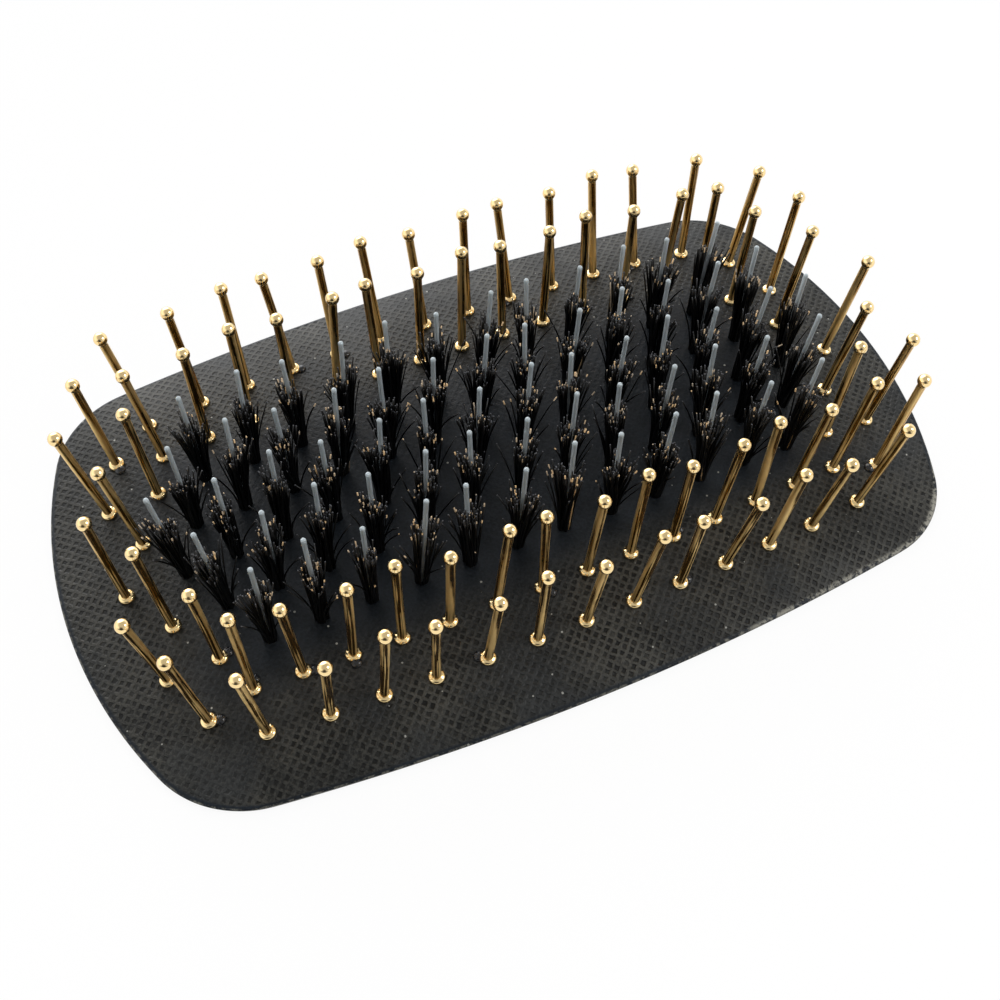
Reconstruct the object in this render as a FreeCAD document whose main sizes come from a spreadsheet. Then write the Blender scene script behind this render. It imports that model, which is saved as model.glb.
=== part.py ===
import FreeCAD, Part
import math
import os
from FreeCAD import Placement, Rotation, Vector

# Cushion pad of a pet brush: a crowned rubber sheet that carries two rings of
# ball-tipped metal pins round a field of quills, each quill in its own bristle tuft.
# +X runs along the pad, +Y to its back, +Z up. The origin is at the centre of the
# plane that the rim rests on.

# Driving dimensions, in millimetres unless the note says otherwise

sizes = {
    # Rubber sheet
    "pad_length": 115.6,  # overall length of the sheet
    "pad_width": 69.0,  # overall width of the sheet
    "side_arc_radius": 329.0,  # bow of the two long edges
    "end_arc_radius": 61.3,  # bow of the two ends
    "corner_radius": 13.5,  # the four corners
    "rubber_thickness": 1.2,  # thickness of the sheet
    "crown_drop": 2.7,  # fall of the crown from its flat middle to the rim
    "crown_power": 4.7,  # how late the crown starts to fall, a plain number
    "rim_land_depth": 0.3,  # how much of the rim's underside is trimmed flat
    "edge_undercut": 0.3,  # how far the cut edge leans in at its foot

    # Metal pins
    "shaft_diameter": 1.1,  # wire of a pin
    "ball_diameter": 1.75,  # ball tip of a pin
    "pin_reach": 16.9,  # from the rubber to the middle of the ball
    "collar_diameter": 2.1,  # ring that stops a pin on top of the rubber
    "collar_top_diameter": 1.5,  # upper edge of that ring
    "collar_height": 0.6,  # height of that ring
    "pin_head_diameter": 3.0,  # flat head of a pin behind the rubber
    "pin_head_thickness": 0.4,  # thickness of that head

    # Quills
    "quill_diameter": 0.72,  # stem of a quill
    "quill_reach": 17.2,  # from the rubber to the tip of the quill
    "quill_head_diameter": 2.6,  # flat head of a quill behind the rubber
    "quill_head_thickness": 0.4,  # thickness of that head

    # Bristle tufts
    "tuft_root_diameter": 1.85,  # bundle of bristles where it leaves the rubber
    "tuft_waist_diameter": 2.5,  # bundle half way up
    "tuft_top_diameter": 4.1,  # spread of the bundle at its cut end
    "tuft_height": 12.0,  # from the rubber to the cut ends
    "tuft_waist_height": 6.0,  # from the rubber to the waist
    "lock_gap_width": 0.9,  # opening between two locks at the cut end
    "lock_gap_depth": 5.0,  # how deep the locks part
    "lock_count": 5,  # locks in one tuft

    # Spacing of the stems
    "outer_pin_pitch": 6.52,  # along a long row of the outer ring
    "inner_pin_pitch": 6.12,  # along a long row of the inner ring
    "tuft_pitch": 6.5,  # along a row of tufts
    "tuft_row_gap": 6.35,  # from one row of tufts to the next
    "row_clearance": 5.0,  # least room from a row's end to the pins beyond it
    "row_radius": 560.0,  # bow of the long rows of pins
    "outer_end_radius": 60.0,  # bow of the outer end pins

    # Places of the pins, from the sheet's edges inwards
    "outer_row_margin": 8.95,  # long edge to the middle of an outer row
    "inner_row_margin": 15.0,  # long edge to the middle of an inner row
    "outer_end_margin": 7.9,  # end to the outer ring's pin on the centre line
    "inner_end_margin": 11.9,  # end to the inner ring's pin beside the first tuft row
    "inner_end_step": 3.8,  # how far the next such pin stands further in
    "long_shoulder_end_margin": 17.8,  # end to the pin that closes a long outer row
    "long_shoulder_side_margin": 10.7,  # long edge to the same pin
    "short_shoulder_end_margin": 12.1,  # end to the pin that starts an outer end
    "short_shoulder_side_margin": 14.8,  # long edge to the same pin

    # Fits and setting
    "hole_clearance": 0.05,  # gap all round a stem in its hole
    "seat_gap": 0.05,  # gap between the rubber and a leaning head or collar
    "stray_shift": 1.0,  # how far a pin's tip may stand out of true
    "back_row_shift": 0.9,  # how far the outer back row's tips stand over towards -X
}

doc = FreeCAD.newDocument("brush_cushion")
sheet = doc.addObject("Spreadsheet::Sheet", "Sizes")
for line, (alias, number) in enumerate(sizes.items(), start=1):
    sheet.set("A%d" % line, alias.replace("_", " "))
    sheet.set("B%d" % line, str(number))
    sheet.setAlias("B%d" % line, alias)
doc.recompute()


def value(alias):
    """The number that the sheet holds under this word."""
    return float(sheet.get(alias))


# The outline: eight tangent arcs, the same in each quarter

half_length = value("pad_length") / 2
half_width = value("pad_width") / 2


def outline_arcs(growth):
    """Centre and radius of the side, end and corner arc of one quarter, moved out."""
    side = value("side_arc_radius") + growth
    end = value("end_arc_radius") + growth
    corner = value("corner_radius") + growth
    side_centre = Vector(0, half_width + growth - side, 0)
    end_centre = Vector(half_length + growth - end, 0, 0)
    # The corner's centre is where two circles about the other two centres cross.
    far_side = side - corner
    far_end = end - corner
    link = end_centre - side_centre
    along = (far_side ** 2 - far_end ** 2 + link.Length ** 2) / (2 * link.Length)
    across = math.sqrt(far_side ** 2 - along ** 2)
    unit = Vector(link).normalize()
    corner_centre = side_centre + unit * along + Vector(unit.y, -unit.x, 0) * across
    return (side_centre, side), (end_centre, end), (corner_centre, corner)


def outline_joints(growth):
    """Where the corner arc meets the side arc and the end arc, and its middle."""
    (side_centre, _), (end_centre, _), (centre, corner) = outline_arcs(growth)
    out_side = (centre - side_centre).normalize()
    out_end = (centre - end_centre).normalize()
    out_corner = (out_side + out_end).normalize()
    return centre + out_side * corner, centre + out_end * corner, centre + out_corner * corner


def outline_wire(growth, height):
    """The whole outline, moved out by growth, at one height."""
    on_side, on_end, on_corner = outline_joints(growth)
    top = Vector(0, half_width + growth, 0)
    tip = Vector(half_length + growth, 0, 0)

    def at(point, sign_x, sign_y):
        return Vector(point.x * sign_x, point.y * sign_y, height)

    arcs = [(at(on_side, -1, 1), at(top, 1, 1), at(on_side, 1, 1)),
            (at(on_side, 1, 1), at(on_corner, 1, 1), at(on_end, 1, 1)),
            (at(on_end, 1, 1), at(tip, 1, 1), at(on_end, 1, -1)),
            (at(on_end, 1, -1), at(on_corner, 1, -1), at(on_side, 1, -1)),
            (at(on_side, 1, -1), at(top, 1, -1), at(on_side, -1, -1)),
            (at(on_side, -1, -1), at(on_corner, -1, -1), at(on_end, -1, -1)),
            (at(on_end, -1, -1), at(tip, -1, 1), at(on_end, -1, 1)),
            (at(on_end, -1, 1), at(on_corner, -1, 1), at(on_side, -1, 1))]
    return Part.Wire([Part.Arc(*points).toShape() for points in arcs])


# The crown

SIDE_ARC, END_ARC, CORNER_ARC = outline_arcs(0)
SIDE_JOINT, END_JOINT, _ = outline_joints(0)
crown_top = value("rubber_thickness") + value("crown_drop") - value("rim_land_depth")


def rim_share(x, y):
    """Size of the scaled outline that runs through x, y: 0 in the middle, 1 on the rim."""
    point = Vector(abs(x), abs(y), 0)
    if point.Length == 0:
        return 0.0
    unit = Vector(point).normalize()
    if unit.y * SIDE_JOINT.x > unit.x * SIDE_JOINT.y:
        centre, radius = SIDE_ARC
    elif unit.y * END_JOINT.x < unit.x * END_JOINT.y:
        centre, radius = END_ARC
    else:
        centre, radius = CORNER_ARC
    ahead = unit.dot(centre)
    to_rim = ahead + math.sqrt(ahead ** 2 - centre.dot(centre) + radius ** 2)
    return point.Length / to_rim


def crown_height(x, y):
    """Height of the rubber's upper face: flat in the middle, falling to the rim."""
    return crown_top - value("crown_drop") * rim_share(x, y) ** value("crown_power")


def crown_normal(x, y):
    """Direction square to the upper face, from its slopes along X and Y."""
    step = 0.01
    slope_x = (crown_height(x + step, y) - crown_height(x - step, y)) / (2 * step)
    slope_y = (crown_height(x, y + step) - crown_height(x, y - step)) / (2 * step)
    return Vector(-slope_x, -slope_y, 1).normalize()


# The rubber sheet without its holes

def crowned_sheet():
    """A crowned slab of even thickness, trimmed by the outline and by the rest plane."""
    columns = 25
    rows = 17
    overhang = 1.5
    reach_x = half_length + overhang
    reach_y = half_width + overhang
    grid = []
    for i in range(columns):
        x = reach_x * (2 * i / (columns - 1) - 1)
        line = []
        for j in range(rows):
            y = reach_y * (2 * j / (rows - 1) - 1)
            line.append(Vector(x, y, crown_height(x, y)))
        grid.append(line)
    surface = Part.BSplineSurface()
    surface.interpolate(grid)
    slab = surface.toShape().extrude(Vector(0, 0, -value("rubber_thickness")))
    rim_height = value("rubber_thickness") - value("rim_land_depth")
    block_top = crown_top + overhang
    spread = value("edge_undercut") * (block_top / rim_height - 1)
    block = Part.makeLoft([outline_wire(-value("edge_undercut"), 0),
                           outline_wire(spread, block_top)], True, True)
    return slab.common(block).Solids[0]


rubber = doc.addObject("Part::Feature", "trimmed_sheet")
rubber.Shape = crowned_sheet()


# Masters: one of each repeated piece, its foot on the rubber and its stem up +Z

def primitive(kind, name, height_at, **sizes):
    """A Part primitive with its sizes and its foot's height bound to the sheet."""
    piece = doc.addObject(kind, name)
    for prop, formula in sizes.items():
        piece.setExpression(prop, formula)
    piece.setExpression("Placement.Base.z", height_at)
    return piece


def fused(name, pieces):
    """Several primitives made one piece."""
    whole = doc.addObject("Part::MultiFuse", name)
    whole.Shapes = pieces
    whole.Refine = True
    return whole


# A stem leans by its tip's shift over its reach, and the rim of its head or collar
# dips by its radius times that, so each seats that much clear of the rubber.
PIN_LEAN = "(Sizes.stray_shift + Sizes.back_row_shift) / Sizes.pin_reach"
QUILL_LEAN = "Sizes.stray_shift / Sizes.pin_reach"


def seat(diameter, lean):
    """Room under a head or collar of this diameter at the largest lean."""
    return "(%s / 2 * %s + Sizes.seat_gap)" % (diameter, lean)


def metal_pin():
    """A wire with a ball tip, a collar on the rubber and a flat head behind it."""
    below = ("(Sizes.rubber_thickness + Sizes.pin_head_thickness + %s)"
             % seat("Sizes.pin_head_diameter", PIN_LEAN))
    head = primitive("Part::Cylinder", "pin_head", "-" + below,
                     Radius="Sizes.pin_head_diameter / 2", Height="Sizes.pin_head_thickness")
    shaft = primitive("Part::Cylinder", "pin_shaft", "-" + below,
                      Radius="Sizes.shaft_diameter / 2",
                      Height=below + " + Sizes.pin_reach")
    collar = primitive("Part::Cone", "pin_collar",
                       seat("Sizes.collar_diameter", PIN_LEAN),
                       Radius1="Sizes.collar_diameter / 2",
                       Radius2="Sizes.collar_top_diameter / 2",
                       Height="Sizes.collar_height")
    ball = primitive("Part::Sphere", "pin_ball", "Sizes.pin_reach",
                     Radius="Sizes.ball_diameter / 2")
    return fused("metal_pin", [head, shaft, collar, ball])


def quill():
    """A nylon stem with a round tip and a flat head behind the rubber."""
    below = ("(Sizes.rubber_thickness + Sizes.quill_head_thickness + %s)"
             % seat("Sizes.quill_head_diameter", QUILL_LEAN))
    head = primitive("Part::Cylinder", "quill_head", "-" + below,
                     Radius="Sizes.quill_head_diameter / 2",
                     Height="Sizes.quill_head_thickness")
    stem = primitive("Part::Cylinder", "quill_stem", "-" + below,
                     Radius="Sizes.quill_diameter / 2",
                     Height=below + " + Sizes.quill_reach - Sizes.quill_diameter / 2")
    tip = primitive("Part::Sphere", "quill_tip",
                    "Sizes.quill_reach - Sizes.quill_diameter / 2",
                    Radius="Sizes.quill_diameter / 2")
    return fused("quill", [head, stem, tip])


def bristle_tuft():
    """A bundle that flares to its cut end, parted into locks, with a bore for its quill."""
    sections = []
    levels = [("-Sizes.rubber_thickness", "Sizes.tuft_root_diameter"),
              ("Sizes.seat_gap", "Sizes.tuft_root_diameter"),
              ("Sizes.tuft_waist_height", "Sizes.tuft_waist_diameter"),
              ("Sizes.tuft_height", "Sizes.tuft_top_diameter")]
    locks = int(value("lock_count"))
    for number, (level, diameter) in enumerate(levels):
        section = primitive("Part::RegularPolygon", "tuft_section_%d" % number, level,
                            Circumradius=diameter + " / 2")
        section.Polygon = 2 * locks
        sections.append(section)
    bundle = doc.addObject("Part::Loft", "tuft_bundle")
    bundle.Sections = sections
    bundle.Solid = True
    bundle.Ruled = True
    bore = primitive("Part::Cylinder", "quill_bore", "-2 * Sizes.rubber_thickness",
                     Radius="Sizes.quill_diameter / 2 + Sizes.hole_clearance",
                     Height="2 * Sizes.rubber_thickness + 2 * Sizes.tuft_height")
    # A wedge with its edge down: X is its opening, Y its depth, Z the way out.
    wedge = doc.addObject("Part::Wedge", "lock_gap")
    wedge.setExpression("Xmin", "-Sizes.lock_gap_width / 2")
    wedge.setExpression("Xmax", "Sizes.lock_gap_width / 2")
    wedge.setExpression("X2min", "0")
    wedge.setExpression("X2max", "0")
    wedge.setExpression("Ymin", "-Sizes.tuft_height")
    wedge.setExpression("Ymax", "Sizes.lock_gap_depth - Sizes.tuft_height")
    for prop, formula in (("Zmin", "Sizes.quill_diameter"), ("Z2min", "Sizes.quill_diameter"),
                          ("Zmax", "Sizes.tuft_top_diameter"),
                          ("Z2max", "Sizes.tuft_top_diameter")):
        wedge.setExpression(prop, formula)
    gaps = []
    for number in range(locks):
        gap = doc.addObject("App::Link", "lock_gap_%d" % number)
        gap.LinkedObject = wedge
        about_stem = Rotation(Vector(0, 0, 1), 360 * number / locks)
        gap.Placement = Placement(Vector(), about_stem * Rotation(Vector(1, 0, 0), -90))
        gaps.append(gap)
    cutter = doc.addObject("Part::Compound", "tuft_cutter")
    cutter.Links = [bore] + gaps
    tuft = doc.addObject("Part::Cut", "bristle_tuft")
    tuft.Base = bundle
    tuft.Tool = cutter
    return tuft


def stem_hole(name, diameter):
    """A drill through the rubber along a stem."""
    depth = "4 * Sizes.rubber_thickness"
    return primitive("Part::Cylinder", name, "-" + depth + " / 2",
                     Radius=diameter + " / 2 + Sizes.hole_clearance", Height=depth)


pin_master = metal_pin()
quill_master = quill()
tuft_master = bristle_tuft()
pin_hole_master = stem_hole("pin_hole", "Sizes.shaft_diameter")
tuft_hole_master = stem_hole("tuft_hole", "Sizes.tuft_root_diameter")


# Where the stems stand

GOLDEN_TURN = 137.508
GOLDEN_SHARE = 0.618034
stem_count = 0


def stem_placement(x, y, row_shift=0.0):
    """Square to the crown at x, y, but for a small lean that differs from stem to stem.

    The lean's direction turns by the golden angle from one stem to the next, and its
    size runs through the range from a quarter of the largest lean up to all of it.
    """
    global stem_count
    stem_count += 1
    turn = math.radians(stem_count * GOLDEN_TURN)
    shift = value("stray_shift") * (0.25 + 0.75 * ((stem_count * GOLDEN_SHARE) % 1))
    sideways = Vector(math.cos(turn) * shift - row_shift, math.sin(turn) * shift, 0)
    axis = (crown_normal(x, y) + sideways / value("pin_reach")).normalize()
    spin = Rotation(Vector(0, 0, 1), stem_count * GOLDEN_TURN)
    return Placement(Vector(x, y, crown_height(x, y)),
                     Rotation(Vector(0, 0, 1), axis) * spin)


def stems_that_fit(reach, pitch):
    """How many stems a row takes between two pins that stand at reach each side."""
    return int(2 * (reach - value("row_clearance")) / pitch) + 1


def spaced(count, pitch):
    """Evenly spaced places along X, the same each side of the middle."""
    return [(number - (count - 1) / 2) * pitch for number in range(count)]


def bowed_row(count, pitch, offset):
    """Points spaced along an arc that bows away from the centre line."""
    radius = value("row_radius")
    return [(x, offset - radius + math.sqrt(radius ** 2 - x ** 2)) for x in spaced(count, pitch)]


outer_end_x = half_length - value("outer_end_margin")
inner_end_x = half_length - value("inner_end_margin")
outer_row_y = half_width - value("outer_row_margin")
inner_row_y = half_width - value("inner_row_margin")
long_shoulder = (half_length - value("long_shoulder_end_margin"),
                 half_width - value("long_shoulder_side_margin"))
short_shoulder = (half_length - value("short_shoulder_end_margin"),
                  half_width - value("short_shoulder_side_margin"))
first_row_tufts = stems_that_fit(inner_end_x, value("tuft_pitch"))
side_rows = int((inner_row_y - value("row_clearance")) / value("tuft_row_gap"))


def tuft_row(row):
    """One row of tufts, counted from the middle row: each row outwards has one less."""
    count = first_row_tufts + 1 - abs(row)
    return [(x, row * value("tuft_row_gap")) for x in spaced(count, value("tuft_pitch"))]


def outer_end():
    """The outer ring's pins round the end at +X, front to back."""
    y = side_rows * value("tuft_row_gap")
    radius = value("outer_end_radius")
    half = [short_shoulder, (outer_end_x - radius + math.sqrt(radius ** 2 - y ** 2), y)]
    return mirrored(half, 1, -1) + [(outer_end_x, 0.0)] + half[::-1]


def inner_end():
    """The inner ring's pins at +X, front to back: one beside each row but the middle one."""
    half = [(inner_end_x - (row - 1) * value("inner_end_step"), row * value("tuft_row_gap"))
            for row in range(side_rows, 0, -1)]
    return mirrored(half, 1, -1) + half[::-1]


def mirrored(points, sign_x, sign_y):
    """The same points on the other side of the pad."""
    return [(x * sign_x, y * sign_y) for x, y in points]


outer_back = bowed_row(stems_that_fit(long_shoulder[0], value("outer_pin_pitch")),
                       value("outer_pin_pitch"), outer_row_y)
outer_back = mirrored([long_shoulder], -1, 1) + outer_back + [long_shoulder]
inner_back = bowed_row(stems_that_fit(short_shoulder[0], value("inner_pin_pitch")),
                       value("inner_pin_pitch"), inner_row_y)

pin_groups = {}
for ring, back, end in (("outer", outer_back, outer_end()), ("inner", inner_back, inner_end())):
    for side, sign_y in (("front", -1), ("back", 1)):
        row = mirrored(back, 1, sign_y)
        pin_groups["%s_pins_%s_left" % (ring, side)] = [p for p in row if p[0] < 0]
        pin_groups["%s_pins_%s_right" % (ring, side)] = [p for p in row if p[0] >= 0]
    pin_groups["%s_pins_left_end" % ring] = mirrored(end, -1, 1)
    pin_groups["%s_pins_right_end" % ring] = end

tuft_groups = {}
for number, row in enumerate(range(-side_rows, side_rows + 1), start=1):
    points = tuft_row(row)
    tuft_groups["row_%d_left" % number] = [p for p in points if p[0] < 0]
    tuft_groups["row_%d_right" % number] = [p for p in points if p[0] >= 0]


# The nodes

def group(name, master, placements):
    """One node: a linked copy of the master at each placement."""
    links = []
    for number, placement in enumerate(placements):
        link = doc.addObject("App::Link", "%s_%d" % (name, number + 1))
        link.LinkedObject = master
        link.LinkTransform = True
        link.Placement = placement
        links.append(link)
    node = doc.addObject("Part::Compound", name)
    node.Label = name
    node.Links = links
    return node


nodes = []
pin_places = []
for name, points in pin_groups.items():
    row_shift = value("back_row_shift") if name.startswith("outer_pins_back") else 0.0
    places = [stem_placement(x, y, row_shift) for x, y in points]
    nodes.append(group(name, pin_master, places))
    pin_places += places
tuft_places = []
for name, points in tuft_groups.items():
    places = [stem_placement(x, y) for x, y in points]
    nodes.append(group("quills_" + name, quill_master, places))
    nodes.append(group("bristles_" + name, tuft_master, places))
    tuft_places += places

pin_holes = group("pin_holes", pin_hole_master, pin_places)
tuft_holes = group("tuft_holes", tuft_hole_master, tuft_places)
all_holes = doc.addObject("Part::Compound", "stem_holes")
all_holes.Links = [pin_holes, tuft_holes]
pad = doc.addObject("Part::Cut", "cushion_pad")
pad.Label = "cushion_pad"
pad.Base = rubber
pad.Tool = all_holes
nodes.insert(0, pad)
doc.recompute()


# Write the solids

for item in doc.Objects:
    if "Invalid" in item.State or "Error" in item.State:
        raise RuntimeError("%s failed: %s" % (item.Name, item.State))
for node in nodes:
    if node.Shape.isNull() or not node.Shape.isValid():
        raise RuntimeError("%s has no valid shape" % node.Label)
os.makedirs("parts", exist_ok=True)
for node in nodes:
    node.Shape.exportStep("parts/%s.step" % node.Label)
    print(node.Label, len(node.Shape.Solids), "solids, volume %.1f" % node.Shape.Volume)
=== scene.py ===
# %% [markdown]
# # The cushion of a pet brush
# The object is the loose pad of a grooming brush: a crowned sheet of black rubber, two
# rings of ball-tipped metal pins, and a field of pale quills that each stand in a tuft of
# black bristles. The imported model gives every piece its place, so it is loaded first, and
# everything below is built round it in metres.

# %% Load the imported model
import math

import bpy
import numpy as np
from mathutils import Matrix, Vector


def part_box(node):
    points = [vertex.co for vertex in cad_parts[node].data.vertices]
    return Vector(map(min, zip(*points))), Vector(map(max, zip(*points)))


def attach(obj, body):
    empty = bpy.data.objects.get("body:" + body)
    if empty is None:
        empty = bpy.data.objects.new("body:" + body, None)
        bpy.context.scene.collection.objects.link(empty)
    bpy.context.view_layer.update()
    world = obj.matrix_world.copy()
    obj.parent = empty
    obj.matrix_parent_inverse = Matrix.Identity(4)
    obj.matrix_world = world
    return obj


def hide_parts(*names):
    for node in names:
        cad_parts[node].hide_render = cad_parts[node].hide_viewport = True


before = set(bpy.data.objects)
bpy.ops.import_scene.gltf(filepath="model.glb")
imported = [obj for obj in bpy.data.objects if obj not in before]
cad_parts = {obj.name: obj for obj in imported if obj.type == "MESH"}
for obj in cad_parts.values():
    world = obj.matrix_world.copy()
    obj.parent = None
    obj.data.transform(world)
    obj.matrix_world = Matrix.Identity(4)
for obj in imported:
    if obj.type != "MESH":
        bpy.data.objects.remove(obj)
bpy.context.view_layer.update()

MM = 0.001
print("packed nodes:", len(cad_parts))

# %% [markdown]
# ## Small helpers
# A colour is chosen as people name it, as an sRGB hex value, but light adds up in linear
# numbers, so one function turns one into the other. Another adds a shader node with its
# settings and links in a single call, which keeps a long material readable.

# %% Colours


def linear(hex_colour):
    """sRGB hex to linear RGBA: each channel is raised by the sRGB curve."""
    channels = np.array([int(hex_colour[k:k + 2], 16) for k in (1, 3, 5)]) / 255
    curved = np.where(channels <= 0.04045, channels / 12.92, ((channels + 0.055) / 1.055) ** 2.4)
    return (*curved.tolist(), 1.0)


print("sRGB #808080 in linear light: %.3f" % linear("#808080")[0])

# %% Shader nodes


def add_node(tree, kind, settings=None, inputs=None):
    """One shader node. Settings are its properties, and inputs are sockets by name or
    number: a plain value is set on the socket, and an output of another node is linked."""
    node = tree.nodes.new(kind)
    for name, value in (settings or {}).items():
        setattr(node, name, value)
    for key, value in (inputs or {}).items():
        if isinstance(value, bpy.types.NodeSocket):
            tree.links.new(value, node.inputs[key])
        else:
            node.inputs[key].default_value = value
    return node


def new_material(name):
    """An empty node material and its tree."""
    material = bpy.data.materials.new(name)
    material.use_nodes = True
    material.node_tree.nodes.clear()
    return material, material.node_tree


def finish_material(tree, shader):
    """Links a shader to the material's output."""
    add_node(tree, "ShaderNodeOutputMaterial", inputs={"Surface": shader})


# %% [markdown]
# ## From arrays to a mesh
# Every new piece is worked out as whole numpy arrays. One function hands them to Blender:
# points, four-sided and three-sided faces, and a pair of surface numbers for each corner,
# which a material later reads to know how far along a pin or a bristle it is.

# %% Points and faces to a mesh object


def mesh_object(name, points, quads, triangles=None, uv=None, material=None):
    """Builds an object at the origin from points, faces and one UV pair per point."""
    triangles = np.zeros((0, 3), int) if triangles is None else triangles
    corners = np.concatenate([quads.ravel(), triangles.ravel()]).astype(np.int32)
    starts = np.concatenate([np.arange(len(quads)) * 4,
                             4 * len(quads) + np.arange(len(triangles)) * 3]).astype(np.int32)
    mesh = bpy.data.meshes.new(name)
    mesh.vertices.add(len(points))
    mesh.vertices.foreach_set("co", np.asarray(points, np.float32).ravel())
    mesh.loops.add(len(corners))
    mesh.loops.foreach_set("vertex_index", corners)
    mesh.polygons.add(len(starts))
    mesh.polygons.foreach_set("loop_start", starts)
    mesh.polygons.foreach_set("use_smooth", np.ones(len(starts), bool))
    mesh.update(calc_edges=True)
    if uv is not None:
        layer = mesh.uv_layers.new(name="UVMap")
        layer.data.foreach_set("uv", np.asarray(uv, np.float32)[corners].ravel())
    mesh.validate()
    piece = bpy.data.objects.new(name, mesh)
    bpy.context.scene.collection.objects.link(piece)
    if material:
        mesh.materials.append(material)
    return piece


# %% Faces of a grid and of a turned profile


def grid_quads(rows, columns):
    """Faces of a grid of points whose columns close on themselves, row after row."""
    row = np.arange(rows - 1)[:, None] * columns
    here = np.arange(columns)[None, :]
    after = (here + 1) % columns
    return np.stack([row + here, row + after, row + columns + after, row + columns + here],
                    axis=-1).reshape(-1, 4)


def turned_profile(radii, heights, sides):
    """A profile turned about Z: point = (r cos a, r sin a, z). The first and last profile
    points are on the axis, so each end closes in a fan. UV is the angle and the height."""
    angle = np.arange(sides) * 2 * math.pi / sides
    ring_r = np.array(radii[1:-1])[:, None]
    ring_z = np.array(heights[1:-1])[:, None]
    rings = np.stack([ring_r * np.cos(angle), ring_r * np.sin(angle),
                      ring_z + 0 * angle], axis=-1).reshape(-1, 3)
    points = np.concatenate([rings, [[0, 0, heights[0]], [0, 0, heights[-1]]]])
    rows = len(radii) - 2
    quads = grid_quads(rows, sides)
    here = np.arange(sides)
    after = (here + 1) % sides
    last = (rows - 1) * sides
    bottom = np.stack([after, here, np.full(sides, rows * sides)], axis=-1)
    top = np.stack([last + here, last + after, np.full(sides, rows * sides + 1)], axis=-1)
    around = np.concatenate([np.tile(np.arange(sides) / sides, rows), [0.5, 0.5]])
    uv = np.stack([around, points[:, 2] / MM], axis=-1)
    return points, quads, np.concatenate([bottom, top]), uv


# %% [markdown]
# ## Where each stem stands
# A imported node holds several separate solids, such as a group of pins. They are read
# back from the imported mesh, so no place can drift from it. Triangles that share a corner
# get the same label, over and over, until each solid has one label. The middle of a
# solid's foot and the middle of its tip then give its axis.

# %% Split a node into its solids
WELD = 0.001 * MM


def solids_of(node):
    """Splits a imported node's loose triangles into its separate solids, as point arrays."""
    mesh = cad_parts[node].data
    raw = np.zeros(len(mesh.vertices) * 3)
    mesh.vertices.foreach_get("co", raw)
    keys, place = np.unique(np.round(raw.reshape(-1, 3) / WELD), axis=0,
                            return_inverse=True)
    place = place.ravel()
    corners = np.zeros(len(mesh.loops), np.int32)
    mesh.loops.foreach_get("vertex_index", corners)
    corners = place[corners].reshape(-1, 3)
    label = np.arange(len(keys))
    while True:
        lowest = label[corners].min(axis=1)
        new = label.copy()
        for side in range(3):
            np.minimum.at(new, corners[:, side], lowest)
        new = new[new]
        if np.array_equal(new, label):
            break
        label = new
    points = keys * WELD
    return [points[label == one] for one in np.unique(label)]


print("solids in outer_pins_left_end:", len(solids_of("outer_pins_left_end")))

# %% Read the tip and the axis of every stem
END_SHARE = 0.12


def stems_of(node):
    """The tip and the unit axis of each solid of a node, from its lowest and highest parts."""
    tips = []
    axes = []
    for points in solids_of(node):
        height = points[:, 2]
        span = height.max() - height.min()
        foot = points[height < height.min() + END_SHARE * span].mean(axis=0)
        head = points[height > height.max() - END_SHARE * span].mean(axis=0)
        axis = (head - foot) / np.linalg.norm(head - foot)
        reach = ((points - foot) @ axis).max()
        tips.append(foot + axis * reach)
        axes.append(axis)
    return np.array(tips), np.array(axes)


pin_nodes = sorted(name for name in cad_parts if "_pins_" in name)
quill_nodes = sorted(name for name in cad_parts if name.startswith("quills_"))
tuft_nodes = sorted(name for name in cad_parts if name.startswith("bristles_"))
stems = {name: stems_of(name) for name in pin_nodes + quill_nodes}
print("pins:", sum(len(stems[name][0]) for name in pin_nodes),
      "quills:", sum(len(stems[name][0]) for name in quill_nodes))

# %% Turn and plant copies of one stem


def turned_to(axes):
    """One rotation for each axis, the smallest that takes +Z there."""
    x, y, z = axes.T
    shared = 1 / (1 + z)
    rows = [[1 - x * x * shared, -x * y * shared, x],
            [-x * y * shared, 1 - y * y * shared, y],
            [-x, -y, z]]
    return np.moveaxis(np.array(rows), -1, 0)


def planted(template, tips, axes, tip_height):
    """Copies of a template, each turned to its axis and moved so that its tip meets the
    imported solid's tip: point = tip + turn (template - tip height)."""
    points, quads, triangles, uv = template
    turns = turned_to(axes)
    local = points - np.array([0, 0, tip_height])
    placed = np.einsum("sij,nj->sni", turns, local) + tips[:, None, :]
    count = len(points)
    offsets = (np.arange(len(tips)) * count)[:, None, None]
    all_quads = (quads[None] + offsets).reshape(-1, 4)
    all_triangles = (triangles[None] + offsets).reshape(-1, 3)
    # The whole number added to U tells one stem from the next.
    stem = np.repeat(np.arange(len(tips)), count)[:, None]
    all_uv = np.tile(uv, (len(tips), 1)) + stem * [1, 0]
    return placed.reshape(-1, 3), all_quads, all_triangles, all_uv


# %% [markdown]
# ## Camera
# The view looks down on the pad from its front left corner. The distance, the angles and
# the lens come from the vanishing of the rows of stems, so they are real lengths and real
# angles, here in radians. The camera's own axes are set as the columns of its matrix.

# %% Camera
CAMERA_PLACE = np.array([-45.21, -90.99, 147.02]) * MM
CAMERA_AZIMUTH = -0.4638
CAMERA_ELEVATION = 0.9846
CAMERA_ROLL = -0.0471
FOCAL_PIXELS = 1346.8
IMAGE_PIXELS = 1000
SENSOR = 36.0

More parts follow.
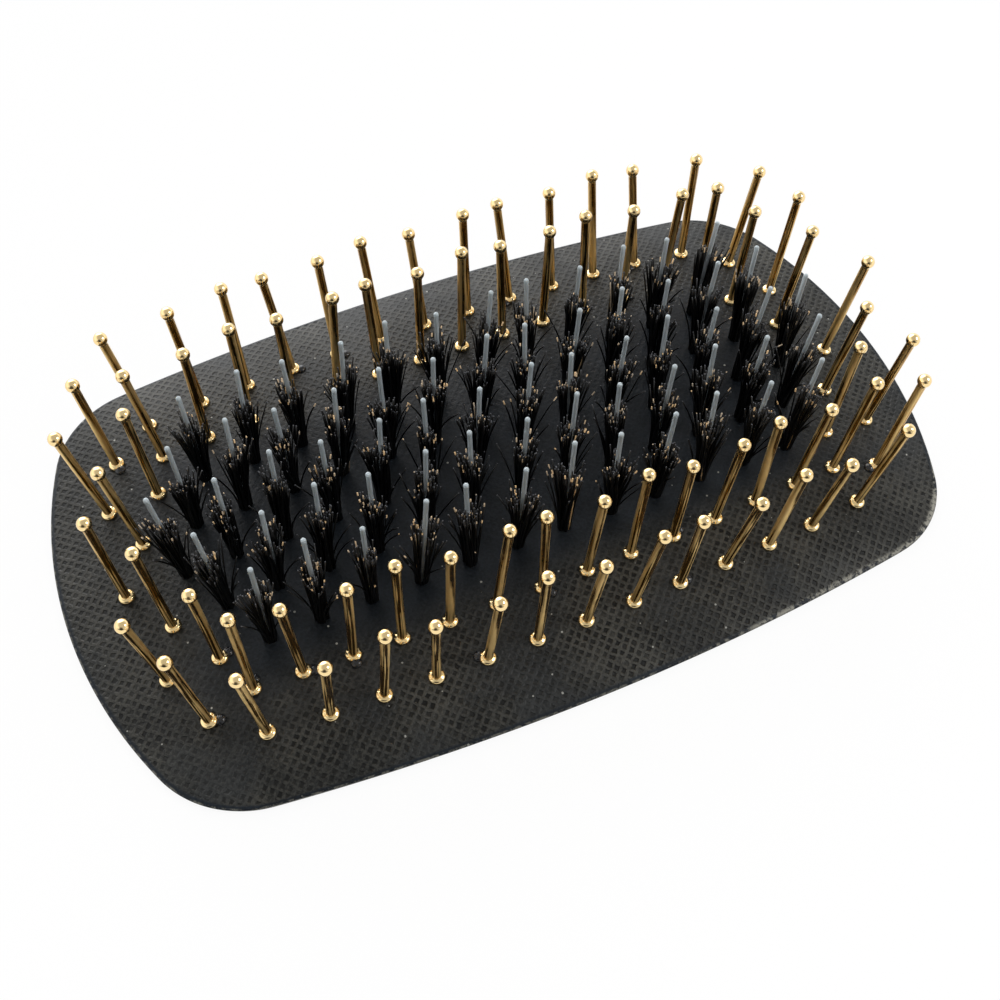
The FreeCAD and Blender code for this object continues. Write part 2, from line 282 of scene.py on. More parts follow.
back = np.array([math.cos(CAMERA_ELEVATION) * math.sin(CAMERA_AZIMUTH),
                 -math.cos(CAMERA_ELEVATION) * math.cos(CAMERA_AZIMUTH),
                 math.sin(CAMERA_ELEVATION)])
level = np.cross(-back, [0, 0, 1])
level /= np.linalg.norm(level)
down = np.cross(-back, level)
right = math.cos(CAMERA_ROLL) * level + math.sin(CAMERA_ROLL) * down
up = math.sin(CAMERA_ROLL) * level - math.cos(CAMERA_ROLL) * down
matrix = np.eye(4)
matrix[:3, 0] = right
matrix[:3, 1] = up
matrix[:3, 2] = back
matrix[:3, 3] = CAMERA_PLACE

camera_data = bpy.data.cameras.new("camera")
camera_data.sensor_width = SENSOR
camera_data.lens = SENSOR * FOCAL_PIXELS / IMAGE_PIXELS
camera_data.clip_start = 0.005
camera_data.clip_end = 20
camera = bpy.data.objects.new("camera", camera_data)
bpy.context.scene.collection.objects.link(camera)
camera.matrix_world = Matrix(matrix.tolist())
bpy.context.scene.camera = camera
print("lens in mm: %.2f" % camera_data.lens)

# %% [markdown]
# ## The rubber sheet's form
# The real pad is one moulded sheet, cut to a rounded outline and bulged from below. Its
# outline is three arcs in each quarter, all tangent. A point of the sheet is given by two
# numbers: the angle round the middle, and the share of the way out to the rim. A scaled
# copy of the outline runs through every point of the same share, and the crown's height
# depends on that share alone, so the rim comes out level.

# %% The outline as a distance for every angle
PAD_HALF_LENGTH = 57.8 * MM
PAD_HALF_WIDTH = 34.5 * MM
SIDE_ARC_RADIUS = 329.0 * MM
END_ARC_RADIUS = 61.3 * MM
CORNER_RADIUS = 13.5 * MM
RUBBER_THICKNESS = 1.2 * MM
CROWN_DROP = 2.7 * MM
CROWN_POWER = 4.7
EDGE_UNDERCUT = 0.3 * MM
EDGE_HOLLOW = 0.05 * MM
crown_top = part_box("cushion_pad")[1][2]


def rim_distance(angle):
    """Distance from the middle to the outline: on a circle with centre c and radius R
    the ray along u meets it at u.c + sqrt((u.c)^2 - c.c + R^2)."""
    side_centre = np.array([0, PAD_HALF_WIDTH - SIDE_ARC_RADIUS])
    end_centre = np.array([PAD_HALF_LENGTH - END_ARC_RADIUS, 0])
    far_side = SIDE_ARC_RADIUS - CORNER_RADIUS
    far_end = END_ARC_RADIUS - CORNER_RADIUS
    link = end_centre - side_centre
    gap = np.linalg.norm(link)
    along = (far_side ** 2 - far_end ** 2 + gap ** 2) / (2 * gap)
    across = math.sqrt(far_side ** 2 - along ** 2)
    corner_centre = (side_centre + link / gap * along
                     + np.array([link[1], -link[0]]) / gap * across)
    toward = np.abs(np.stack([np.cos(angle), np.sin(angle)], axis=-1))

    def reach(centre, radius):
        """Distance along each ray to the circle of one arc."""
        ahead = toward @ centre
        return ahead + np.sqrt(np.maximum(ahead ** 2 - centre @ centre + radius ** 2, 0))

    def joint_slope(centre):
        """Slope of the ray to the point where an arc runs into the corner's arc."""
        out = corner_centre - centre
        joint = corner_centre + out / np.linalg.norm(out) * CORNER_RADIUS
        return joint[1] / joint[0]

    slope = toward[..., 1] / np.maximum(toward[..., 0], 1e-9)
    distance = reach(corner_centre, CORNER_RADIUS)
    distance = np.where(slope > joint_slope(side_centre),
                        reach(side_centre, SIDE_ARC_RADIUS), distance)
    return np.where(slope < joint_slope(end_centre), reach(end_centre, END_ARC_RADIUS), distance)


def crown_height(x, y):
    """Height of the rubber's upper face over a point: top - drop x share^power."""
    share = np.hypot(x, y) / rim_distance(np.arctan2(y, x))
    return crown_top - CROWN_DROP * share ** CROWN_POWER


print("outline half sizes in mm: %.2f %.2f" % tuple(
    rim_distance(np.array([0, math.pi / 2])) / MM))

# %% The sheet as one closed grid
PAD_SIDES = 720
TOP_RINGS = 40
ROUND_RINGS = 4
EDGE_RINGS = 4
RIM_ROUND = 0.2 * MM


def rubber_sheet():
    """Rows of the grid run from the middle of the upper face out to the rim, round its
    soft corner, down the cut edge and back in under the sheet. U of the UV is the
    distance in from the rim in millimetres. V is the rim share on top, 1 to 2 over the
    corner and the cut edge, and 3 - share below."""
    angle = np.arange(PAD_SIDES) * 2 * math.pi / PAD_SIDES
    rim = rim_distance(angle)
    rim_z = crown_top - CROWN_DROP
    face_share = 1 - RIM_ROUND / rim

    def face_height(radius):
        """Height of the upper face at a distance on every ray."""
        return crown_top - CROWN_DROP * (radius / rim) ** CROWN_POWER

    rows = []
    # The rings crowd a little towards the rim, where the crown falls fastest.
    for share in np.linspace(0, 1, TOP_RINGS + 1)[1:] ** 0.8:
        radius = share * face_share * rim
        rows.append((radius, face_height(radius), share))
    for step in np.linspace(0, 1, ROUND_RINGS + 1)[1:]:
        turn = step * math.pi / 2
        radius = rim - RIM_ROUND * (1 - math.sin(turn))
        drop = RIM_ROUND * (1 - math.cos(turn))
        rows.append((radius, face_height(radius) - drop, 1 + 0.5 * step))
    # The knife leaves the edge slightly hollow and leaning in at its foot.
    corner_z = rim_z - RIM_ROUND
    for step in np.linspace(0, 1, EDGE_RINGS + 1)[1:]:
        radius = rim - EDGE_UNDERCUT * step - EDGE_HOLLOW * math.sin(math.pi * step)
        rows.append((radius, np.full(PAD_SIDES, corner_z * (1 - step)), 1.5 + 0.5 * step))
    foot = rim - EDGE_UNDERCUT
    for share in np.linspace(1, 0, TOP_RINGS // 2)[1:-1]:
        radius = share * foot
        rows.append((radius, np.maximum(face_height(radius) - RUBBER_THICKNESS, 0), 3 - share))
    radius = np.array([row[0] for row in rows])
    height = np.array([row[1] for row in rows])
    stage = np.array([row[2] for row in rows])
    rings = np.stack([radius * np.cos(angle), radius * np.sin(angle), height], axis=-1)
    points = np.concatenate([rings.reshape(-1, 3),
                             [[0, 0, crown_top], [0, 0, crown_top - RUBBER_THICKNESS]]])
    here = np.arange(PAD_SIDES)
    after = (here + 1) % PAD_SIDES
    last = (len(rows) - 1) * PAD_SIDES
    top = np.full(PAD_SIDES, len(rows) * PAD_SIDES)
    top_fan = np.stack([here, after, top], axis=-1)
    low_fan = np.stack([last + after, last + here, top + 1], axis=-1)
    quads = grid_quads(len(rows), PAD_SIDES)[:, ::-1]
    middle = PAD_HALF_WIDTH / MM
    inward = np.concatenate([((rim - radius) / MM).ravel(), [middle, middle]])
    staged = np.concatenate([np.repeat(stage, PAD_SIDES), [0, 3]])
    return points, quads, np.concatenate([top_fan, low_fan]), np.stack([inward, staged], -1)


# %% [markdown]
# ## Black natural rubber with a canvas emboss
# Natural rubber sheet is vulcanised against a canvas belt, which leaves a net of fine
# raised lines round small square pits. The belt doesn't press evenly, so the net fades
# out in smooth patches, and among the tufts it is flattened. The pits look darker than
# the net because light doesn't get into them. The lines run at 45 degrees to the pad.

# %% Shader shorthands


def maths(tree, operation, *values):
    """One Math node on values or outputs."""
    inputs = dict(enumerate(values))
    return add_node(tree, "ShaderNodeMath", {"operation": operation}, inputs).outputs[0]


def ramp(tree, value, low, high, out_low=0.0, out_high=1.0):
    """A smooth step of a value from low to high, spread over out_low to out_high."""
    return add_node(tree, "ShaderNodeMapRange", {"interpolation_type": "SMOOTHSTEP"},
                    {"Value": value, "From Min": low, "From Max": high,
                     "To Min": out_low, "To Max": out_high}).outputs["Result"]


def blend(tree, factor, first, second):
    """Mixes two colours by a factor."""
    return add_node(tree, "ShaderNodeMix", {"data_type": "RGBA"},
                    {"Factor": factor, 6: first, 7: second}).outputs[2]


def noise(tree, vector, size, detail=2.0, roughness=0.5):
    """Cloudy noise whose largest blots are about one size wide."""
    return add_node(tree, "ShaderNodeTexNoise", None,
                    {"Vector": vector, "Scale": 1 / size, "Detail": detail,
                     "Roughness": roughness}).outputs["Fac"]


# %% The embossed net
NET_PITCH = 0.93 * MM
NET_DEPTH = 0.17 * MM
NET_WOBBLE = 1.1 * MM
NET_PATCH = 15 * MM
FIELD_HALF_LENGTH = 47 * MM
FIELD_HALF_WIDTH = 19 * MM


def canvas_net(tree, place):
    """How deep in a pit a point is, 0 on a ridge to 1 in a pit. Two triangle waves cross
    at 45 degrees to the pad; noise bends the lines, and each pit has a depth of its own."""
    net = add_node(tree, "ShaderNodeMapping", None,
                   {"Vector": place, "Rotation": (0, 0, math.radians(45)),
                    "Scale": (1 / NET_PITCH, 1 / NET_PITCH, 0)}).outputs[0]
    bend = add_node(tree, "ShaderNodeTexNoise", None,
                    {"Vector": place, "Scale": 1 / NET_WOBBLE, "Detail": 2.0}).outputs["Color"]
    # The noise moves a line by a tenth or two of the pitch.
    net = add_node(tree, "ShaderNodeVectorMath", {"operation": "MULTIPLY_ADD"},
                   {0: bend, 1: (0.6, 0.6, 0), 2: net}).outputs[0]
    lines = add_node(tree, "ShaderNodeSeparateXYZ", None, {0: net})
    nearest = maths(tree, "MINIMUM", maths(tree, "PINGPONG", lines.outputs[0], 0.5),
                    maths(tree, "PINGPONG", lines.outputs[1], 0.5))
    cell = add_node(tree, "ShaderNodeVectorMath", {"operation": "FLOOR"}, {0: net}).outputs[0]
    own = add_node(tree, "ShaderNodeTexWhiteNoise", {"noise_dimensions": "2D"},
                   {"Vector": cell}).outputs["Value"]
    # A ridge is a quarter of the pitch wide, and the floor of a pit 0.4 of it.
    pit = ramp(tree, nearest, 0.13, 0.3)
    return maths(tree, "MULTIPLY", pit, ramp(tree, own, -0.3, 0.9, 0.35, 1.0))


def net_strength(tree, place, inward, stage):
    """How much of the net shows, 0 to 1: full outside the field of tufts and faint in it,
    weaker in uneven patches, and none beside the rim or past it."""
    flat = add_node(tree, "ShaderNodeSeparateXYZ", None, {0: place})
    out_x = maths(tree, "DIVIDE", maths(tree, "ABSOLUTE", flat.outputs[0]), FIELD_HALF_LENGTH)
    out_y = maths(tree, "DIVIDE", maths(tree, "ABSOLUTE", flat.outputs[1]), FIELD_HALF_WIDTH)
    outside = ramp(tree, maths(tree, "MAXIMUM", out_x, out_y), 0.75, 1.1, 0.12, 1.0)
    patchy = ramp(tree, noise(tree, place, NET_PATCH, 3.0, 0.6), 0.36, 0.54, 0.5, 1.0)
    inside_rim = maths(tree, "MULTIPLY", ramp(tree, inward, 0.35, 0.8),
                       ramp(tree, stage, 1.0, 1.01, 1.0, 0.0))
    return maths(tree, "MULTIPLY", maths(tree, "MULTIPLY", outside, patchy), inside_rim)


# %% Dust on the skin, wear at the rim, and a painted highlight at its front right
DUST_SPACING = 3.2 * MM
SCUFF_SIZE = 1.1 * MM
SLICE_GRAIN = 0.9 * MM


def dusted(tree, place, colour):
    """A colour with specks of dust on it. The plane is cut into cells, and about a quarter
    of them have a speck in the middle, each of its own size."""
    cell = add_node(tree, "ShaderNodeTexVoronoi", {"voronoi_dimensions": "2D"},
                    {"Vector": place, "Scale": 1 / DUST_SPACING})
    chance = add_node(tree, "ShaderNodeSeparateColor", None, {0: cell.outputs["Color"]})
    reach = ramp(tree, chance.outputs[0], 0.72, 1.0, 0.0, 0.045)
    speck = maths(tree, "LESS_THAN", cell.outputs["Distance"], reach)
    return blend(tree, speck, colour, linear("#9a9a94"))


def worn_rim_and_highlight(tree, place, inward, stage, colour):
    """A colour with the rim's wear and a painted highlight on it. The sliced edge is paler than
    the moulded skin, its upper corner is scuffed, and the right half of the front edge is frayed
    most and paler still, partly from fraying and partly as a painted highlight of the light from
    the front right."""
    scuff = ramp(tree, noise(tree, place, SCUFF_SIZE, 4.0, 0.75), 0.45, 0.6)
    flat = add_node(tree, "ShaderNodeSeparateXYZ", None, {0: place})
    # The fraying and the painted highlight grow from 5 to 35 mm right of the middle, and keep to
    # the front edge.
    frayed_and_lit = maths(tree, "MULTIPLY", ramp(tree, flat.outputs[0], 5 * MM, 35 * MM),
                   ramp(tree, flat.outputs[1], -28 * MM, -21 * MM, 1.0, 0.0))
    # The scuffed corner is 0.3 mm wide, and 1.1 mm where it is frayed most and painted lightest.
    share = maths(tree, "DIVIDE", inward, maths(tree, "MULTIPLY_ADD", frayed_and_lit, 0.8, 0.3))
    corner = maths(tree, "MULTIPLY", ramp(tree, share, 0.2, 1.0, 1.0, 0.0), scuff)
    sliced = maths(tree, "MAXIMUM", corner, ramp(tree, stage, 1.3, 1.5))
    sliced = maths(tree, "MULTIPLY", sliced, ramp(tree, stage, 2.0, 2.02, 1.0, 0.0))
    slice_colour = blend(tree, noise(tree, place, SLICE_GRAIN, 3.0, 0.7),
                         linear("#4d4d48"), linear("#8d8b80"))
    colour = blend(tree, sliced, colour, slice_colour)
    # At the front right the corner turns pale #96948a: partly fraying, partly a painted highlight
    # of the light from the front right.
    return blend(tree, maths(tree, "MULTIPLY", corner, frayed_and_lit), colour, linear("#96948a"))


# %% Rubber material
CLOUD_SIZE = 9 * MM
GRAIN_SIZE = 0.35 * MM


def rubber_material():
    """Natural rubber: a dull sheen over a net of ridges and pits. Its tone changes in wide
    clouds and, as much again, in a fine grain."""
    material, tree = new_material("natural_rubber")
    coords = add_node(tree, "ShaderNodeTexCoord")
    place = coords.outputs["Object"]
    on_sheet = add_node(tree, "ShaderNodeSeparateXYZ", None, {0: coords.outputs["UV"]})
    inward, stage = on_sheet.outputs[0], on_sheet.outputs[1]
    shown = net_strength(tree, place, inward, stage)
    pit_shown = maths(tree, "MULTIPLY", canvas_net(tree, place), shown)

    cloud = ramp(tree, noise(tree, place, CLOUD_SIZE, 4.0, 0.6), 0.32, 0.68)
    grain = noise(tree, place, GRAIN_SIZE, 3.0, 0.65)
    tone = maths(tree, "MULTIPLY", maths(tree, "ADD", cloud, ramp(tree, grain, 0.38, 0.62)), 0.5)
    smooth = blend(tree, tone, linear("#060c12"), linear("#171f28"))
    ridge = blend(tree, tone, linear("#1d1e1d"), linear("#464540"))
    colour = blend(tree, shown, smooth, ridge)
    # The pits are painted darker with #080908: painted shade in the recesses, where light doesn't
    # get in.
    colour = blend(tree, pit_shown, colour, linear("#080908"))
    colour = dusted(tree, place, colour)
    # The rim's wear, with a painted highlight at its front right.
    colour = worn_rim_and_highlight(tree, place, inward, stage, colour)

    height = maths(tree, "SUBTRACT", maths(tree, "MULTIPLY", grain, 0.22), pit_shown)
    bump = add_node(tree, "ShaderNodeBump", None,
                    {"Strength": 1.0, "Distance": NET_DEPTH, "Height": height})
    rough = maths(tree, "ADD", ramp(tree, grain, 0.3, 0.7, 0.4, 0.52),
                  maths(tree, "MULTIPLY", cloud, -0.06))
    shader = add_node(tree, "ShaderNodeBsdfPrincipled", None,
                      {"Base Color": colour, "Roughness": rough, "IOR": 1.52,
                       "Specular IOR Level": 0.21, "Normal": bump.outputs[0]})
    finish_material(tree, shader.outputs[0])
    return material


# %% Place the sheet
pad = mesh_object("rubber_pad", *rubber_sheet(), material=rubber_material())
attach(pad, "root")
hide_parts("cushion_pad")
print("rubber pad faces:", len(pad.data.polygons))

# %% [markdown]
# ## The metal pins' form
# A brush pin is drawn wire, upset at its tip into a ball and at its foot into a collar, so
# it is one turned shape: a profile of radius against height, turned round the axis. One
# profile serves all the pins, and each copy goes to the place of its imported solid.

# %% One pin's profile
SHAFT_RADIUS = 0.55 * MM
BALL_RADIUS = 0.875 * MM
PIN_REACH = 16.9 * MM
PIN_SIDES = 28
BALL_STEPS = 13


def pin_profile():
    """Radius and height from the head's underside up to the ball's top. The collar is a
    low rounded ring that runs into the wire. The ball is an arc: r = R cos a, and
    z = middle + R sin a."""
    neck = math.asin(SHAFT_RADIUS / BALL_RADIUS)
    arc = np.linspace(-math.pi / 2 + neck, math.pi / 2, BALL_STEPS)[1:-1]
    # In millimetres: the flat head behind the rubber, the shank, the collar and the wire.
    radii = [0, 1.3, 1.47, 1.5, 1.47, 1.3, 0.55, 0.55, 1.0, 1.05, 1.04, 0.99, 0.9, 0.78,
             0.66, 0.57, 0.55, 0.55, 0.56]
    heights = [-1.82, -1.82, -1.78, -1.62, -1.46, -1.42, -1.4, 0.02, 0.02, 0.1, 0.24, 0.37,
               0.48, 0.55, 0.59, 0.62, 0.7, 8.0, 16.12]
    radii = np.array(radii) * MM
    heights = np.array(heights) * MM
    ball_r = BALL_RADIUS * np.cos(arc)
    ball_z = PIN_REACH + BALL_RADIUS * np.sin(arc)
    return (np.concatenate([radii, ball_r, [0]]),
            np.concatenate([heights, ball_z, [PIN_REACH + BALL_RADIUS]]))


print("a pin's length in mm: %.2f" % (np.ptp(pin_profile()[1]) / MM))

# %% [markdown]
# ## Gold-plated steel
# The wire is flash-plated, so it mirrors what is round it: dark rubber below, white above.
# That is why the shafts look brown and the balls look pale. Drawing the wire through its
# die leaves fine scratches along it, which show as streaks.

# %% Pin material
DENT_SIZE = 0.9 * MM
PLATE_RELIEF = 0.04 * MM


def pin_material():
    """Gold plate: a warm metal with lengthwise die marks and a smooth tumbled ball."""
    material, tree = new_material("gold_plated_steel")
    coords = add_node(tree, "ShaderNodeTexCoord")
    height = add_node(tree, "ShaderNodeSeparateXYZ", None, {0: coords.outputs["UV"]}).outputs[1]
    # U counts turns and V is in millimetres: eight marks round the wire, each 20 mm long.
    marks = add_node(tree, "ShaderNodeMapping", None,
                     {"Vector": coords.outputs["UV"], "Scale": (8, 0.05, 1)}).outputs[0]
    streak = noise(tree, marks, 1.0, 1.0, 0.5)
    # Finer bright rubs, about 8 mm long, lie over the long marks: rubbed plating, and painted
    # glints as well.
    rub_and_glint_marks = add_node(tree, "ShaderNodeMapping", None,
                    {"Vector": coords.outputs["UV"], "Scale": (15, 0.12, 1)}).outputs[0]
    rub_and_glint = ramp(tree, noise(tree, rub_and_glint_marks, 1.0, 1.0, 0.5), 0.54, 0.66)
    patch = noise(tree, coords.outputs["Object"], DENT_SIZE, 1.0, 0.5)
    # The wire runs from the collar's top, 0.6 mm up, to the ball's underside at 16.2 mm.
    on_wire = maths(tree, "MULTIPLY", ramp(tree, height, 0.6, 0.9),
                    ramp(tree, height, 16.0, 16.2, 1.0, 0.0))
    bright = maths(tree, "MAXIMUM", ramp(tree, streak, 0.43, 0.58), rub_and_glint)
    # Where the rubs lie, the pale #fcdb98 is partly rubbed plating and partly painted glints.
    wire = blend(tree, bright, linear("#ac7f38"), linear("#fcdb98"))
    colour = blend(tree, on_wire, linear("#fde0a6"), wire)
    wire_rough = maths(tree, "MULTIPLY_ADD", bright, 0.3, 0.12)
    rough = maths(tree, "ADD", maths(tree, "MULTIPLY", wire_rough, on_wire),
                  ramp(tree, patch, 0.35, 0.65, 0.06, 0.14))
    ball_relief = maths(tree, "MULTIPLY", patch, maths(tree, "SUBTRACT", 1.0, on_wire))
    wire_relief = maths(tree, "MULTIPLY", streak, on_wire)
    relief = maths(tree, "MULTIPLY_ADD", wire_relief, 0.5, ball_relief)
    bump = add_node(tree, "ShaderNodeBump", None,
                    {"Strength": 1.0, "Distance": PLATE_RELIEF, "Height": relief})
    shader = add_node(tree, "ShaderNodeBsdfPrincipled", None,
                      {"Base Color": colour, "Metallic": 1.0, "Roughness": rough,
                       "Normal": bump.outputs[0]})
    finish_material(tree, shader.outputs[0])
    return material


# %% Place the pins
gold = pin_material()
pin_shape = turned_profile(*pin_profile(), PIN_SIDES)
for name in pin_nodes:
    tips, axes = stems[name]
    piece = mesh_object(name + "_metal",
                        *planted(pin_shape, tips, axes, PIN_REACH + BALL_RADIUS), material=gold)
    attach(piece, "root")
    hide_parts(name)
print("faces of one pin:", len(pin_shape[1]) + len(pin_shape[2]))

# %% [markdown]
# ## The quills
# A quill here is a straight length of clear nylon with a melted round tip. Nylon lets
# light through but scatters it, so it reads as grey-white with brighter edges. It is
# turned from a profile as the pins are, and one mesh is planted at each packed quill.

# %% One quill's profile
QUILL_RADIUS = 0.3 * MM
QUILL_REACH = 17.2 * MM
QUILL_SIDES = 16


def quill_profile():
    """Radius and height of a quill: flat head, stem, and a tip slightly fuller than it."""
    # In millimetres: the flat head behind the rubber, the stem and the tip.
    radii = [0, 1.1, 1.27, 1.3, 1.27, 1.1, 0.32, 0.32, 0.31, 0.3, 0.3, 0.31, 0.33, 0.32,
             0.27, 0.17, 0]
    heights = [-1.73, -1.73, -1.7, -1.55, -1.37, -1.33, -1.3, 0.5, 5.0, 12.0, 16.2, 16.6,
               16.82, 16.98, 17.1, 17.18, 17.2]
    return np.array(radii) * MM, np.array(heights) * MM


print("a quill's length in mm: %.2f" % (np.ptp(quill_profile()[1]) / MM))

# %% Nylon material
TIP_START = 16.3
TIP_END = 16.9


def quill_material():
    """Nylon: light goes through and bends, so the edges shine, and the tip is cloudier."""
    material, tree = new_material("clear_nylon")
    uv = add_node(tree, "ShaderNodeTexCoord").outputs["UV"]
    height = add_node(tree, "ShaderNodeSeparateXYZ", None, {0: uv}).outputs[1]
    streaks = add_node(tree, "ShaderNodeMapping", None,
                       {"Vector": uv, "Scale": (7, 0.1, 1)}).outputs[0]
    body = blend(tree, noise(tree, streaks, 1.0, 3.0), linear("#b3bfc6"), linear("#eef5f8"))
    colour = blend(tree, ramp(tree, height, TIP_START, TIP_END), body, linear("#d5e0e5"))
    clear = ramp(tree, height, TIP_START, TIP_END, 0.62, 0.45)
    shader = add_node(tree, "ShaderNodeBsdfPrincipled", None,
                      {"Base Color": colour, "Roughness": 0.3, "IOR": 1.53,
                       "Transmission Weight": clear})
    finish_material(tree, shader.outputs[0])
    return material


# %% Place the quills
nylon = quill_material()
quill_shape = turned_profile(*quill_profile(), QUILL_SIDES)
for name in quill_nodes:
    tips, axes = stems[name]
    piece = mesh_object(name + "_nylon", *planted(quill_shape, tips, axes, QUILL_REACH),
                        material=nylon)
    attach(piece, "root")
    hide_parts(name)
print("faces of one quill:", len(quill_shape[1]) + len(quill_shape[2]))

# %% [markdown]
# ## The bristle tufts
# Each tuft is a bundle of 76 filaments that come up through the quill's hole and part
# into five locks, which fan out to their cut ends, and a few strays stand apart. A
# filament could be a curve object, but thousands of them are quicker as one array: each
# is a bent line in its own upright plane, with a four-sided section carried along it.

# %% Where the filaments start and end
TUFT_ROOT_RADIUS = 0.92 * MM
TUFT_TOP_RADIUS = 2.7 * MM
TUFT_HEIGHT = 10.9 * MM
TUFT_LIMIT = 12.6 * MM
FILAMENT_RADIUS = 0.115 * MM
FILAMENTS = 76
LOCKS = 5
STRAY_SHARE = 0.06
random = np.random.default_rng(7)


def around(turn, radius):
    """Points of a plane from their angles and distances: (r cos a, r sin a)."""
    return radius[..., None] * np.stack([np.cos(turn), np.sin(turn)], axis=-1)


def filament_ends(count):
    """Root and tip in plan, height and bend of the filaments of some tufts. A filament
    starts at a random point of the bundle's root, belongs to the nearest of five locks
    and ends near that lock's tip. A few strays end lower and farther out."""
    shape = (count, FILAMENTS)
    inner = QUILL_RADIUS + FILAMENT_RADIUS
    outer = TUFT_ROOT_RADIUS - FILAMENT_RADIUS
    root_r = np.sqrt(random.uniform(inner ** 2, outer ** 2, shape))
    root_turn = random.uniform(0, 2 * math.pi, shape)
    lock_turn = (random.uniform(0, 2 * math.pi, (count, 1))
                 + np.arange(LOCKS) * 2 * math.pi / LOCKS + random.normal(0, 0.3, (count, LOCKS)))
    lock_reach = TUFT_TOP_RADIUS * random.uniform(0.5, 1.0, (count, LOCKS))
    away = np.cos(root_turn[..., None] - lock_turn[:, None, :])
    lock = away.argmax(axis=-1)
    tip_turn = np.take_along_axis(lock_turn, lock, 1) + random.normal(0, 0.38, shape)
    tip_r = (np.take_along_axis(lock_reach, lock, 1) * random.uniform(0.6, 1.2, shape)
             * (0.2 + 0.8 * (root_r - inner) / (outer - inner)))
    lock_height = random.normal(1, 0.07, (count, LOCKS))
    height = (TUFT_HEIGHT * random.normal(1, 0.03, (count, 1)) * random.normal(1, 0.06, shape)
              * np.take_along_axis(lock_height, lock, 1))
    height = np.minimum(height, TUFT_LIMIT)
    power = random.uniform(1.3, 2.2, shape)
    stray = random.random(shape) < STRAY_SHARE
    tip_r = np.where(stray, TUFT_TOP_RADIUS * random.uniform(0.9, 1.5, shape), tip_r)
    height = np.where(stray, height * random.uniform(0.65, 0.95, shape), height)
    return around(root_turn, root_r), around(tip_turn, tip_r), height, power


# %% Centre lines of the filaments
FILAMENT_RINGS = 6
SWAY = 0.12 * MM


def filaments(count):
    """Centre lines in each tuft's own frame, from a root p0 to a tip p1 in plan:
    p = p0 + (p1 - p0) t^power and height = h t, with a sine's sway to one side."""
    root, tip, height, power = filament_ends(count)
    travel = tip - root
    t = np.linspace(0, 1, FILAMENT_RINGS)
    line = np.zeros(height.shape + (FILAMENT_RINGS, 3))
    line[..., :2] = (root[:, :, None] + travel[:, :, None]
                     * (t ** power[..., None])[..., None])
    across = np.stack([-travel[..., 1], travel[..., 0], 0 * height], axis=-1)
    across /= np.linalg.norm(across, axis=-1, keepdims=True)
    sway = random.normal(0, SWAY, height.shape)[..., None] * np.sin(math.pi * t)
    line += sway[..., None] * across[:, :, None]
    low = -0.5 * RUBBER_THICKNESS
    line[..., 2] = low + (height - low)[..., None] * t
    return line, across, t


# %% One mesh of filaments for a row of tufts
FILAMENT_SIDES = 4
FILAMENT_TAPER = 0.15


def tuft_row(tips, axes):
    """Four-sided filaments round each quill: point = line + r (cos a n1 + sin a n2). U of
    the UV is a chance of each filament's own, and V is the share of the way to its end."""
    line, across, t = filaments(len(tips))
    along = np.gradient(line, axis=2)
    along /= np.linalg.norm(along, axis=-1, keepdims=True)
    side = across[:, :, None] - along * (along * across[:, :, None]).sum(-1, keepdims=True)
    side /= np.linalg.norm(side, axis=-1, keepdims=True)
    other = np.cross(along, side)
    corner = np.arange(FILAMENT_SIDES) * 2 * math.pi / FILAMENT_SIDES
    radius = FILAMENT_RADIUS * (1 - FILAMENT_TAPER * t)[None, None, :, None, None]
    ring = radius * (np.cos(corner)[:, None] * side[:, :, :, None]
                     + np.sin(corner)[:, None] * other[:, :, :, None])
    local = line[:, :, :, None] + ring
    local[..., 2] -= QUILL_REACH
    placed = np.einsum("sij,skj->ski", turned_to(axes), local.reshape(len(tips), -1, 3))
    points = (placed + tips[:, None, :]).reshape(-1, 3)
    tubes = len(tips) * FILAMENTS
    per_tube = FILAMENT_RINGS * FILAMENT_SIDES
    foot = np.arange(FILAMENT_SIDES)[::-1]
    cut_end = np.arange(per_tube - FILAMENT_SIDES, per_tube)
    one = np.concatenate([grid_quads(FILAMENT_RINGS, FILAMENT_SIDES), [foot, cut_end]])
    quads = one[None] + (np.arange(tubes) * per_tube)[:, None, None]
    chance = np.repeat(random.random(tubes), per_tube)
    length = np.tile(np.repeat(t, FILAMENT_SIDES), tubes)
    return points, quads.reshape(-1, 4), np.stack([chance, length], axis=-1)


# %% [markdown]
# ## Black filament with pale cut ends
# The filament is black and glossy. Where the shears cut it, the end is split and pale, so
# each tuft is dotted with tan points. One filament in some 170 is pale all along.

# %% Filament material


def filament_material():
    """Black nylon filament. One in five has a pale split end, and the others a grey one."""
    material, tree = new_material("black_filament")
    uv = add_node(tree, "ShaderNodeTexCoord").outputs["UV"]
    parts = add_node(tree, "ShaderNodeSeparateXYZ", None, {0: uv})
    chance = parts.outputs[0]
    # The pale part is up to 6 % of the length. A start past 1 means that there is none.
    start = ramp(tree, chance, 0.7, 1.0, 1.02, 0.94)
    pale = maths(tree, "GREATER_THAN", parts.outputs[1], start)
    cut = maths(tree, "GREATER_THAN", parts.outputs[1], 0.998)
    whole = maths(tree, "GREATER_THAN", chance, 0.994)
    grey_or_tan = add_node(tree, "ShaderNodeTexWhiteNoise", {"noise_dimensions": "1D"},
                           {"W": chance}).outputs["Value"]
    end_colour = blend(tree, grey_or_tan, linear("#b3a898"), linear("#fbd094"))
    colour = blend(tree, cut, linear("#060607"), linear("#4a4b50"))
    colour = blend(tree, maths(tree, "MAXIMUM", pale, whole), colour, end_colour)
    shader = add_node(tree, "ShaderNodeBsdfPrincipled", None,
                      {"Base Color": colour, "Roughness": 0.32, "IOR": 1.5,
                       "Specular IOR Level": 0.5})
    finish_material(tree, shader.outputs[0])
    return material


